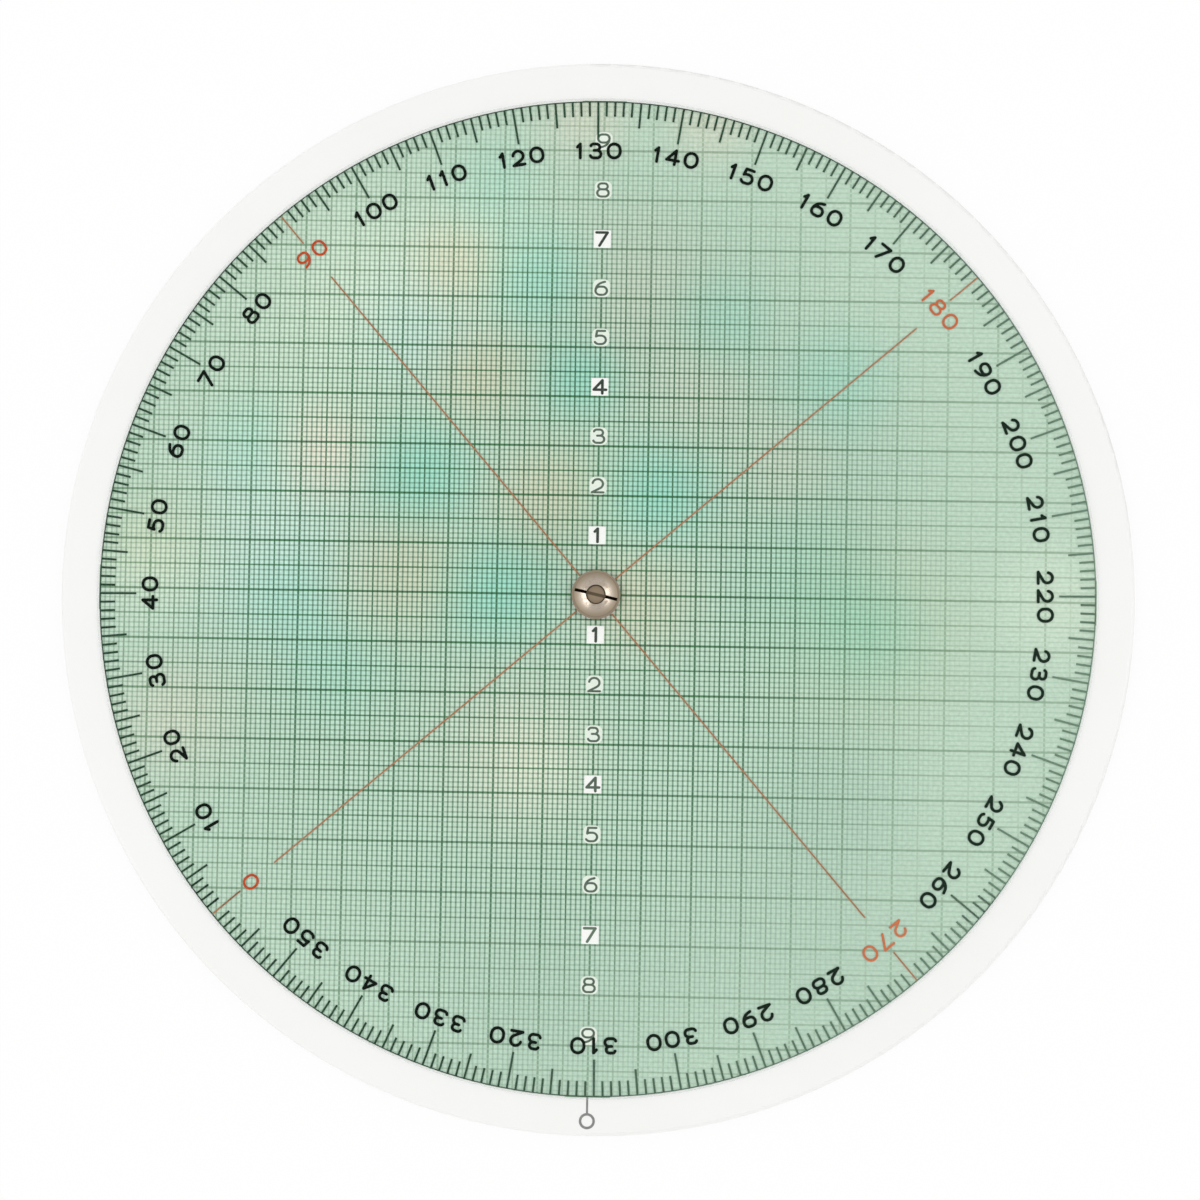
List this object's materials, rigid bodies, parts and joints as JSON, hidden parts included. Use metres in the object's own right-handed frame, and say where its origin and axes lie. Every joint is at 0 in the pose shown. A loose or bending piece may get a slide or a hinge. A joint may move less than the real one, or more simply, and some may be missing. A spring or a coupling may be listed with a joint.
{
  "type": "nautical circular slide rule",
  "caption": "Round plotting board with a gridded white base, a clear turning disc divided in degrees on the front and a turning log scale disc on the back, held by a slotted post.",
  "frame": {"origin": "on the pivot axis, at the face of the slide rule disc that the rule rests on", "axes": "+Z along the pivot out of the plotting face, +Y to the top of the grid, away from the index mark"},
  "size_m": [0.216, 0.216, 0.0069],
  "materials": {
    "white_sheet": "satin rigid vinyl sheet, cut and edge rounded",
    "clear_sheet": "clear polished acrylic sheet",
    "grid_ink": "green printing ink",
    "black_ink": "black printing ink",
    "red_ink": "red printing ink",
    "grey_ink": "grey printing ink",
    "plated_brass": "turned brass, nickel plated and worn",
    "friction_washer": "natural nylon film",
    "spring_steel": "bright spring steel strip"
  },
  "bodies": {
    "base": {"base_disc": "white_sheet", "grid_heavy_upright": "grid_ink", "grid_half_upright": "grid_ink", "grid_heavy_level": "grid_ink", "grid_half_level": "grid_ink", "index_mark": "grey_ink", "fixed_log_scale": "black_ink", "binding_post": "plated_brass", "binding_screw": "plated_brass", "cap_washer": "plated_brass", "front_spacer": "friction_washer", "rear_spacer": "friction_washer", "wave_washer": "spring_steel"},
    "plotting_disc": {"plotting_disc": "clear_sheet", "degree_scale": "black_ink", "quadrant_lines": "red_ink"},
    "slide_rule_disc": {"slide_rule_disc": "white_sheet", "sliding_log_scale": "black_ink"}
  },
  "joints": [
    {"name": "plotting_disc_turn", "type": "hinge", "parent": "base", "child": "plotting_disc", "pos_m": [0, 0, 0.0049], "axis": [0, 0, 1], "continuous": true},
    {"name": "slide_rule_turn", "type": "hinge", "parent": "base", "child": "slide_rule_disc", "pos_m": [0, 0, 0.0017], "axis": [0, 0, 1], "continuous": true}
  ]
}
